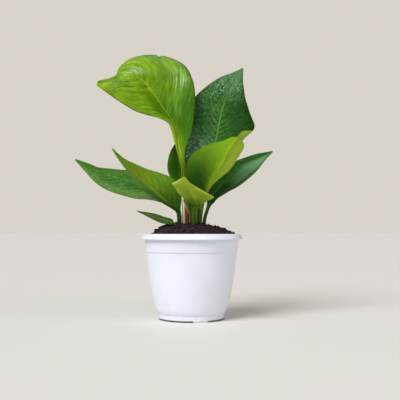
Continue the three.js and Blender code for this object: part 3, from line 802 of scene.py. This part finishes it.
def leaf_finish(leaf):
    """A leaf's waxy upper side, its duller and paler underside and its striped stalk.

    A patch is a soft oval on the blade: painted shade, a painted glint, sheen or reflection, a paler or
    darker tone, or a sunburnt place. It is given by its place along and across, its reach along and
    across, its share and its colour. With a name it shows through that texture of the leaf, and with a
    number it is broken up by a noise of that scale.
    """
    shade = {name: tint(*leaf[name]) for name in LEAF_COLOURS}
    material, tree, inputs = new_finish(leaf["name"], leaf["gloss"], leaf["sheen"])
    vein_values = (leaf["veins"], *leaf["vein_lean"], leaf["vein_curve"], leaf["net_scale"])
    shown = node(tree, "Group", *vein_values, node_tree=vein_group)
    veins = {output.name: Value(output) for output in shown.socket.node.outputs}
    place = node(tree, "TexCoord", out="Object")
    mottle = between(grain(place, 32), 0.3, 0.7)
    uneven = between(grain(place, 26, 2), 0.4, 0.62, 0.15, 1)
    streaks = between(veins["Streaks"], 0.45, 0.64)
    rib = veins["Rib"] * between(veins["Along"], *leaf["rib_fade"])

    upper = mixed(mottle, shade["deep"], shade["upper"])
    upper = mixed(streaks * leaf["streaks"], upper, shade["vein"])
    # Painted shade in the grooves along the side veins.
    upper = mixed(veins["Groove Shade"] * (uneven * leaf["valleys"]), upper, shade["deep"])
    upper = mixed(veins["Side Veins"] * leaf["vein_show"], upper, shade["vein"])
    upper = mixed(veins["Net Veins"] * 0.2, upper, shade["vein"])
    upper = mixed(rib * leaf["rib_show"], upper, shade["rib"])
    under = mixed(mottle, shade["under_deep"], shade["under"])
    for share in (streaks * 0.15, veins["Side Veins"] * 0.18, rib * leaf["rib_under"]):
        under = mixed(share, under, shade["rib"])
    blade = mixed(veins["Under"], upper, under)

    blade_place = node(tree, "CombineXYZ", veins["Along"], veins["Across"])
    patched = veins["Under"] if leaf["patched_below"] else 1 - veins["Under"]
    for along, across, reach_along, reach_across, strength, colour, *texture in leaf["patches"]:
        shift = (-along / reach_along, -across / reach_across, 0)
        oval = stretched(blade_place, (1 / reach_along, 1 / reach_across, 1), shift)
        distance = node(tree, "VectorMath", oval, operation="LENGTH", out="Value")
        share = between(distance, 1, 0.25, 0, strength) * patched
        for mask in texture:
            if isinstance(mask, str):
                share = share * between(veins[mask], 0.42, 0.66)
            else:
                share = share * between(grain(place, mask), 0.4, 0.6)
        blade = mixed(share, blade, tint(*colour))
    blade = mixed(veins["Margin"] * leaf["margin_show"], blade, shade["margin"])

    stalk_place = stretched(node(tree, "UVMap", uv_map="leaf"), (16, 0.5, 1))
    stripe = between(grain(stalk_place, 1, 2), 0.45, 0.62)
    stalk = mixed(stripe, shade["stalk_dark"], shade["stalk_light"])
    # Painted shade: the stalks darken towards the soil, under the leaves.
    stalk = mixed(between(part(place, "Z"), 142 * MM, 118 * MM, 0, 0.65), stalk, FOOT_SHADE)
    feed(inputs["Base Color"], mixed(veins["Stalk"], blade, stalk))
    dull = veins["Under"] * (leaf["gloss_under"] - leaf["gloss"])
    feed(inputs["Roughness"], dull + (mottle - 0.5) * 0.1 + leaf["gloss"])
    relief = veins["Cells"] * leaf["cell_bump"] + veins["Streaks"] * 0.5
    relief = relief - veins["Net Veins"] * 0.25 - veins["Side Veins"] * 0.3
    add_bump(inputs, relief, leaf["bump"] * MM, 0.8)
    return material


def notch_margin(places, along, across, normal):
    """The small tear in the first leaf's far margin: its edge is pulled in over a few millimetres."""
    tear = np.exp(-(((along - 0.67) / 0.007) ** 2)) * smooth(0.8, 1, across) * 6 * MM
    inward = unit(places[:, -2:-1] - places[:, -1:])
    return places + inward * tear[..., None]


grow_leaf(
    "leaf_arching_left", "leaf_bright",
    width=7.4, depth=5.4, wave_height=0.9, tip=(-114, -44.5, 290.2), tip_width=9.6, rows=200, veins=13,
    vein_lean=(0.30, 0.34), vein_curve=1.3, quilt=0.9, rib_groove=0.6, shape=notch_margin,
    stalk=[
        (-4.8, -5, 108), (-5.2, -5, 120), (-5.6, -5, 134), (-6.4, -4, 149), (-7.8, -3, 167), (-9.1, -3, 180),
        (-9.9, -2, 192),
    ],
    stations=[
        [(-19.4, -4, 213), (-14.8, 0, 214), (-4.3, -6, 216)],
        [(-25.8, -4, 238), (-19.9, 3, 240), (1, -6, 240)],
        [(-30.7, -6, 248), (-25.6, 5, 254), (3.5, -4, 261)],
        [(-42, -12, 253.5), (-34.7, 6, 266), (4.6, -2, 281)],
        [(-54, -19, 256), (-44.3, 6, 281), (1.5, 6, 304.3)],
        [(-69, -24, 260), (-53.7, 3, 294), (-10.1, 14, 325.8)],
        [(-83, -28, 267), (-63, -3, 303), (-34.7, 18, 338)],
        [(-96, -32, 275), (-75, -11, 306.5), (-61.1, 13, 338.8)],
        [(-98.2, -34, 276.9), (-82.2, -15.5, 303.7), (-80.3, 5, 331.4)],
        [(-100.2, -36, 278.4), (-90.1, -21, 299.9), (-91.9, -5, 317.6)],
        [(-103.6, -38, 280.8), (-95.8, -26, 296.7), (-93.2, -13, 307.2)],
        [(-106.9, -41, 282.6), (-102.5, -32, 293.2), (-100.2, -22, 301)],
        [(-110.1, -44, 284.4), (-109.2, -38.5, 290.2), (-108.7, -31, 297.1)],
    ],
    upper=(126, 170, 6), deep=(70, 120, 2), vein=(158, 196, 30), rib=(186, 208, 70), under=(132, 172, 60),
    under_deep=(116, 158, 46), margin=(92, 110, 24), stalk_light=(112, 138, 24), stalk_dark=(60, 86, 8),
    gloss=0.27, gloss_under=0.5, sheen=0.27, rib_fade=(0.74, 0.6), valleys=0.6, streaks=0.6, margin_show=0.5,
    patches=[
        # Painted shade on the lower blade, which faces away from the light.
        (0.33, 0.75, 0.28, 1.3, 0.92, (46, 100, 0)),
        # Painted shade along the right edge.
        (0.66, 1.1, 0.36, 0.55, 0.5, (78, 126, 0)),
        # Painted shade over the crest.
        (0.595, 0.5, 0.08, 0.26, 0.6, (52, 104, 0)),
        (0.66, 0.38, 0.09, 0.22, 0.25, (160, 206, 66)),
        (0.47, 0.56, 0.07, 0.22, 0.3, (130, 182, 50)),
        (0.46, -0.4, 0.2, 0.55, 0.6, (60, 112, 0)),
        (0.5, 0.2, 0.14, 0.3, 0.4, (70, 122, 0)),
        (0.2, -0.9, 0.13, 0.9, 0.3, (190, 212, 60)),
        (0.0, 0.0, 0.16, 2, 0.5, (112, 142, 30)),
        (1.0, -0.6, 0.2, 1.5, 0.6, (170, 212, 16)),
        # Painted highlights: pale streaked glints of reflected light.
        (0.73, 0.22, 0.09, 0.22, 0.8, (200, 232, 180), "Streaks"),
        (0.53, 0.7, 0.08, 0.28, 0.7, (200, 234, 168), "Streaks"),
        (0.4, 0.35, 0.12, 0.35, 0.5, (140, 190, 70), "Streaks"),
    ],
)

# The tall dark leaf behind at the right: old, thick and glossy, finely blistered, with its lower right
# margin rolled in so that a strip of the pale underside shows. Its glints, the bluish reflection near its
# tip and the shade on its right half are painted.


def roll_margin(places, along, across, normal):
    """Folds a strip of the right margin over onto the upper side, below the blade's right corner."""
    taken = smooth(0.16, 0.24, along) * smooth(0.52, 0.46, along)
    folded = smooth(0.22, 0.31, along) * smooth(0.46, 0.35, along)
    start = 0.79
    right = np.maximum(across, 0)
    wanted = across + right * (1 / start - 1) * taken
    wanted = np.minimum(wanted, 1 - 0.03 * folded)
    column = (wanted + 1) / 2 * (places.shape[1] - 1)
    first = np.clip(np.floor(column).astype(int), 0, places.shape[1] - 2)
    rows = np.arange(len(places))[:, None]
    flat = places[rows, first] + (places[rows, first + 1] - places[rows, first]) * (column - first)[..., None]
    edge_way = unit(np.gradient(places[:, -1:], axis=0))
    outward = places[:, -1:] - places[:, -6:-5]
    outward = unit(outward - edge_way * np.sum(outward * edge_way, axis=-1, keepdims=True))
    rise = np.cross(edge_way, outward)
    rise = rise * np.sign(np.sum(rise * normal[:, -6:-5], axis=-1, keepdims=True))
    past = np.clip((across - start) / (1 - start), 0, 1)
    radius = 1.1 * MM * folded
    bend = np.pi * np.minimum(past * 2, 1)
    back = np.maximum(past * 2 - 1, 0) * 9 * MM * folded
    hinge = places[:, -1:] - outward * radius[:, -1:, None]
    strip = hinge + outward * (radius * np.sin(bend) - back)[..., None]
    strip = strip + rise * (radius * (1 - np.cos(bend)) - 0.1 * back)[..., None]
    share = (taken * (across > start))[..., None]
    return flat + (strip - flat) * share


grow_leaf(
    "leaf_tall_back", "leaf_dark",
    width=5, depth=4.4, waves=3, wave_height=1.4, tip=(68.9, 61, 332.4), rows=190, veins=22,
    vein_lean=(0.26, 0.34), quilt=0.4, blister=0.9, blister_size=3.4, rib_groove=0.6, shape=roll_margin,
    stalk=[(7.2, 11.2, 108), (8.4, 12, 121), (9, 12, 138), (11.5, 12, 158), (14.7, 11.5, 177)],
    stations=[
        [(-6.6, 15, 200.5), (20.5, 12, 196.5), (35.5, 15, 194)],
        [(-8.1, 22, 221.5), (27, 15, 216.4), (52.2, 18, 215.5)],
        [(-9.2, 30, 245.8), (32.3, 18.5, 235.5), (68.3, 22, 232.3)],
        [(-4.7, 36, 271.9), (36.1, 22.5, 254.8), (82, 27, 247)],
        [(5.1, 40, 290.8), (40, 27, 271.2), (76.3, 34, 269.7)],
        [(17.9, 44, 303.9), (45.1, 33.5, 287), (70.5, 40.5, 289)],
        [(36.4, 49, 316.4), (52.2, 42, 302.8), (69.1, 48, 305.8)],
        [(52.5, 55, 324.5), (60.5, 51, 317.1), (68.7, 54, 318.5)],
    ],
    upper=(25, 75, 8), deep=(18, 58, 8), vein=(84, 146, 40), rib=(98, 156, 46), under=(146, 170, 62),
    under_deep=(130, 156, 50), margin=(56, 80, 30),
    gloss=0.24, rib_fade=(0.85, 0.5), rib_show=0.7, vein_show=0.8, net_scale=32, valleys=0.2, streaks=0.22,
    cell_bump=1.0, bump=0.6,
    patches=[
        # Painted bluish-grey reflection near the tip, where the blade bends back.
        (1.0, 0.0, 0.36, 1.6, 0.45, (112, 152, 108)),
        # Painted glints: bluish-white strokes of reflected light.
        (0.74, -0.5, 0.22, 0.6, 0.65, (156, 204, 172), "Glints"),
        (0.74, 0.5, 0.17, 0.7, 0.6, (160, 200, 172), "Glints"),
        (0.15, -0.6, 0.28, 0.8, 0.95, (196, 234, 218), "Glints"),
        (0.5, -0.4, 0.22, 0.9, 0.35, (120, 172, 116), "Glints"),
        # Painted sheen: a paler bluish green under the glints at the lower left.
        (0.12, -0.5, 0.38, 1.0, 0.5, (80, 138, 76)),
        (0.3, -0.3, 0.4, 0.8, 0.6, (112, 168, 92), "Side Veins"),
        # Painted glints on the blisters at the lower left.
        (0.1, -0.8, 0.26, 0.6, 0.7, (150, 204, 190), "Cells"),
        # Painted shade on the right half.
        (0.5, 0.7, 0.24, 0.8, 0.7, (16, 58, 2)),
    ],
)

# The cupped leaf in front at the right: young, soft and bright. It leans forward with its underside to
# the front, folded along the midrib, so that its right half catches the light. That half is painted
# lighter, and its lower left is painted in shade.
grow_leaf(
    "leaf_cupped_front", "leaf_bright",
    width=6.4, depth=4.6, belly=-0.12, tip=(58, -39, 225.4), rows=150, veins=9, quilt=0.3, rib_groove=0.3,
    stalk=[(9, -5, 108), (9.9, -8, 121), (11.3, -9, 135), (13.6, -10, 148), (16.4, -12, 158)],
    stations=[
        [(25.6, -9, 169.5), (21.6, -17, 168), (2.4, -15, 165.5)],
        [(36.5, -6, 179), (27.8, -21, 180), (-5.4, -16, 180)],
        [(46.7, -4, 189), (34, -25, 189.5), (-4.5, -18, 199.5)],
        [(55.3, -4, 199), (39.7, -28, 199), (6, -19, 211)],
        [(61.7, -7, 209), (44.7, -31, 208.5), (21.6, -22, 219)],
        [(65.4, -13, 218), (50, -34, 216), (37.5, -27, 222.5)],
        [(63.8, -24, 222), (54, -37, 221.5), (48.3, -32, 226.5)],
    ],
    upper=(96, 148, 14), deep=(80, 130, 8), vein=(130, 176, 40), rib=(166, 198, 52), under=(116, 160, 4),
    under_deep=(106, 152, 6), margin=(130, 156, 40), stalk_light=(108, 138, 24), stalk_dark=(46, 78, 6),
    gloss=0.34, gloss_under=0.5, rib_under=0.6, patched_below=True,
    patches=[
        # Painted shade on the lower left half.
        (0.2, 0.75, 0.62, 1.1, 0.94, (18, 64, 0)),
        (0.62, 0.9, 0.4, 0.5, 0.45, (60, 108, 0)),
        # Painted light on the folded right half.
        (0.62, -0.6, 0.6, 0.68, 0.75, (166, 192, 52)),
        (0.9, -0.3, 0.3, 0.8, 0.5, (156, 186, 28)),
    ],
)

# The small pale leaf in front of the crown: the newest one, thin and yellow-green. It points at the
# viewer and shows its underside.
grow_leaf(
    "leaf_small_front", "leaf_pale",
    width=8.6, depth=5, belly=-0.1, waves=2, wave_height=0.7, tip=(-7.1, -73, 174.7), rows=120, veins=7,
    quilt=0.2, rib_groove=0.2,
    stalk=[(4.4, -10.6, 108), (4.2, -13.6, 120), (3.7, -14.2, 132), (4.4, -16, 143)],
    stations=[
        [(19, -20, 148), (4.2, -23, 150), (-7.6, -20, 150.7)],
        [(28, -28, 153), (2.3, -32, 155.7), (-15.5, -27, 158)],
        [(20, -40, 158), (0, -43, 161), (-21, -36, 165.5)],
        [(8.3, -51, 163), (-2.5, -54, 166), (-23.3, -45, 169)],
        [(0, -62, 168), (-4.8, -64, 170), (-17.4, -56, 171.4)],
    ],
    upper=(138, 176, 34), deep=(120, 164, 24), vein=(166, 198, 60), rib=(172, 200, 60), under=(170, 202, 58),
    under_deep=(152, 190, 46), margin=(196, 206, 100), stalk_light=(108, 140, 26), stalk_dark=(48, 82, 6),
    gloss=0.38, gloss_under=0.52, margin_show=0.9, patched_below=True,
    patches=[
        (0.0, 0.0, 0.3, 1.3, 0.5, (80, 130, 8)),
        (0.0, 0.3, 0.35, 1.6, 0.7, (70, 120, 4)),
        (0.5, 1.0, 0.5, 0.5, 0.6, (206, 220, 90)),
    ],
)

# The upright leaf behind at the left: dark, narrow and half hidden. Faint lines run along it, and only
# its upper side, in the shade of the others, shows.
grow_leaf(
    "leaf_upright_back", "leaf_dark",
    width=4, depth=3.6, waves=2, wave_height=0.6, tip=(-11.5, 50, 245), rows=130, veins=8,
    vein_lean=(0.5, 0.5), quilt=0.4,
    stalk=[(-1.8, 10.4, 108), (-1, 13, 121), (-1, 14, 139), (-4.6, 16, 156)],
    stations=[
        [(-23.4, 15, 173.5), (-12.5, 21, 169), (-4.7, 28, 168)],
        [(-30.6, 20, 187.5), (-16, 27, 183.5), (-4, 38, 184.5)],
        [(-31.4, 24, 201), (-17.3, 32, 198.5), (-5.5, 44, 199.5)],
        [(-28.4, 30, 216), (-16.7, 38, 213.5), (-7.5, 47, 214.5)],
        [(-20.7, 38, 230), (-14, 43, 228), (-9, 50, 229)],
    ],
    upper=(60, 112, 8), deep=(36, 84, 4), vein=(66, 116, 26), rib=(88, 134, 40), under=(110, 140, 60),
    under_deep=(92, 124, 44), margin=(84, 106, 36),
    gloss=0.34,
)

# The long leaf that reaches out furthest to the left: green and glossy, with a painted bluish
# reflection on the lower half of its upper side.
grow_leaf(
    "leaf_long_left", "leaf_green",
    width=4.2, depth=3.8, waves=3, tip=(-149, 4, 203), rows=170, veins=12, vein_lean=(0.3, 0.3), quilt=0.6,
    blister=0.25, blister_size=3.6,
    stalk=[(-8, 4, 108), (-15.3, 4, 121), (-16.1, 4, 133), (-20, 6, 144)],
    stations=[
        [(-38, 6, 147.5), (-33, 9, 156), (-30.4, 13, 165.5)],
        [(-55.6, 3, 151.7), (-48.3, 9, 164), (-46, 16, 179.5)],
        [(-73.3, 1, 153), (-66.3, 9, 171), (-64.3, 18, 188)],
        [(-91.7, 0, 157.6), (-84.2, 9, 177), (-83.8, 18, 191)],
        [(-108.8, 0, 164.5), (-101.6, 9, 182), (-102.4, 16, 192)],
        [(-123.6, 1, 174), (-117.5, 8, 187), (-118.7, 12, 193)],
        [(-136.6, 3, 188), (-132, 6, 193.5), (-131, 8, 198)],
    ],
    upper=(58, 122, 26), deep=(42, 100, 16), vein=(104, 158, 58), rib=(116, 166, 66), under=(120, 156, 70),
    under_deep=(104, 142, 56), margin=(84, 112, 46), stalk_light=(84, 126, 44), stalk_dark=(50, 92, 24),
    gloss=0.28, rib_show=0.3, cell_bump=0.6,
    patches=[
        # Painted bluish reflection on the lower half of the upper side.
        (0.5, -1.0, 0.6, 0.75, 0.6, (108, 150, 78), "Cells"),
        (0.75, -0.9, 0.5, 0.8, 0.5, (104, 140, 70)),
        (0.25, -0.8, 0.3, 0.8, 0.6, (124, 160, 84)),
        (0.6, -0.2, 0.4, 0.8, 0.6, (40, 96, 26), 110),
        (0.8, 0.5, 0.4, 0.7, 0.35, (86, 104, 52)),
    ],
)

# The olive leaf in front of it: turned so that its underside and its folded upper half face the front,
# sunburnt in one spot near the margin.
grow_leaf(
    "leaf_olive_left", "leaf_bright",
    width=6, depth=4.6, belly=-0.08, wave_height=0.7, tip=(-95.5, -47, 211), rows=160, veins=11, quilt=0.4,
    stalk=[(-13.6, -9.4, 108), (-15.1, -13, 120), (-15.1, -13, 128), (-15.8, -14, 134)],
    stations=[
        [(-12.4, -11, 149), (-19.2, -17, 141.5), (-26.4, -13, 140.4)],
        [(-13.4, -8, 165.7), (-29.8, -24, 147.4), (-35.8, -14, 147)],
        [(-22.8, -9, 177), (-40.7, -29, 157.7), (-49, -14, 153)],
        [(-39.6, -13, 184.7), (-52.2, -33, 167), (-61.5, -17, 161.7)],
        [(-56, -19, 189.4), (-63.5, -37, 177), (-69.8, -22, 171.7)],
        [(-71, -27, 194.7), (-74.8, -40, 186.5), (-75.7, -30, 182.6)],
        [(-82.5, -36, 200.6), (-84.8, -43, 197), (-83.7, -38, 192)],
    ],
    upper=(76, 118, 14), deep=(58, 98, 8), vein=(112, 152, 36), rib=(134, 164, 56), under=(96, 138, 10),
    under_deep=(80, 124, 6), margin=(92, 92, 30), stalk_light=(48, 90, 12), stalk_dark=(24, 60, 6),
    gloss=0.36, gloss_under=0.46, rib_fade=(0.7, 0.2), patched_below=True,
    patches=[
        (0.0, 0.0, 0.5, 1.8, 0.85, (34, 74, 2)),
        (0.45, 0.7, 0.34, 0.8, 0.8, (38, 98, 0)),
        (0.58, 0.6, 0.16, 0.6, 0.35, (112, 156, 40)),
        (0.48, -0.3, 0.34, 0.7, 0.34, (118, 122, 26), 120),
        (0.66, 0.0, 0.09, 0.5, 0.75, (138, 110, 40), 40),
    ],
)

# The small low leaf at the left, just over the soil: dark, stiff and nearly flat, on the shortest and
# thinnest stalk.
grow_leaf(
    "leaf_low_left", "leaf_green",
    width=3.4, depth=2.8, belly=0.08, waves=1.5, wave_height=0.3, tip=(-68.3, -14, 136.5), rows=110, veins=8,
    vein_lean=(0.4, 0.4), quilt=0.25,
    stalk=[(-16, -17, 107), (-18, -18.5, 113), (-19.4, -19, 117.5), (-21, -19, 120.6)],
    stations=[
        [(-26.5, -23, 119.6), (-26, -18, 123), (-25.2, -11, 126.6)],
        [(-36.3, -23, 120.9), (-35, -17, 125.6), (-34.7, -8, 129.6)],
        [(-46, -21, 125.2), (-44.4, -16, 128.8), (-44.2, -7, 132.6)],
        [(-56, -18.5, 130), (-55, -15, 132.2), (-54.8, -9, 134.6)],
    ],
    upper=(56, 86, 26), deep=(40, 68, 14), vein=(84, 116, 46), rib=(104, 134, 60), under=(112, 142, 66),
    under_deep=(96, 126, 52), margin=(80, 90, 40), stalk_dark=(50, 88, 24),
    gloss=0.36,
)

# The leaf that reaches out to the right: dark green and leathery, with a painted blue sheen along its
# lower half.
grow_leaf(
    "leaf_right", "leaf_dark",
    width=4.6, depth=4, tip=(104.6, 14, 214.4), rows=160, veins=11, vein_lean=(0.32, 0.32), quilt=0.5,
    stalk=[(11.6, 3, 108), (15.2, 2, 119), (17.3, 2, 130), (20.2, 2.5, 139)],
    stations=[
        [(19.4, 5, 150.5), (23.4, 4, 148.4), (27.9, 2, 146.4)],
        [(21, 6, 163), (27.3, 4, 157.6), (33.6, 1, 153.3)],
        [(30, 11, 178), (37.6, 6, 170.4), (46.3, 0, 161)],
        [(40.6, 14, 191.6), (49.3, 8, 183.4), (59.8, 0, 168)],
        [(53.5, 15, 200), (61.6, 10, 193.8), (72.8, 1, 178.6)],
        [(69, 15, 206.7), (74.6, 12, 200.6), (84, 4, 189.4)],
        [(83.2, 14, 211.3), (86.3, 13, 205.7), (93, 8, 200.3)],
        [(94, 14, 213), (95.7, 13, 210), (99.6, 11, 207.7)],
    ],
    upper=(36, 86, 20), deep=(24, 64, 12), vein=(74, 126, 50), rib=(104, 150, 70), under=(112, 146, 70),
    under_deep=(96, 130, 56), margin=(66, 94, 40), stalk_light=(72, 116, 40), stalk_dark=(40, 80, 22),
    gloss=0.3, rib_show=0.3,
    patches=[
        # Painted blue sheen along the lower half.
        (0.72, 0.55, 0.36, 0.65, 0.7, (108, 156, 106)),
        (0.5, 0.5, 0.3, 0.5, 0.4, (90, 144, 90), "Streaks"),
        (0.5, -0.2, 0.3, 0.5, 0.5, (22, 66, 6)),
        (0.5, 1.0, 0.45, 0.3, 0.6, (38, 76, 30)),
        (0.3, 0.6, 0.2, 0.7, 0.5, (20, 60, 12)),
    ],
)
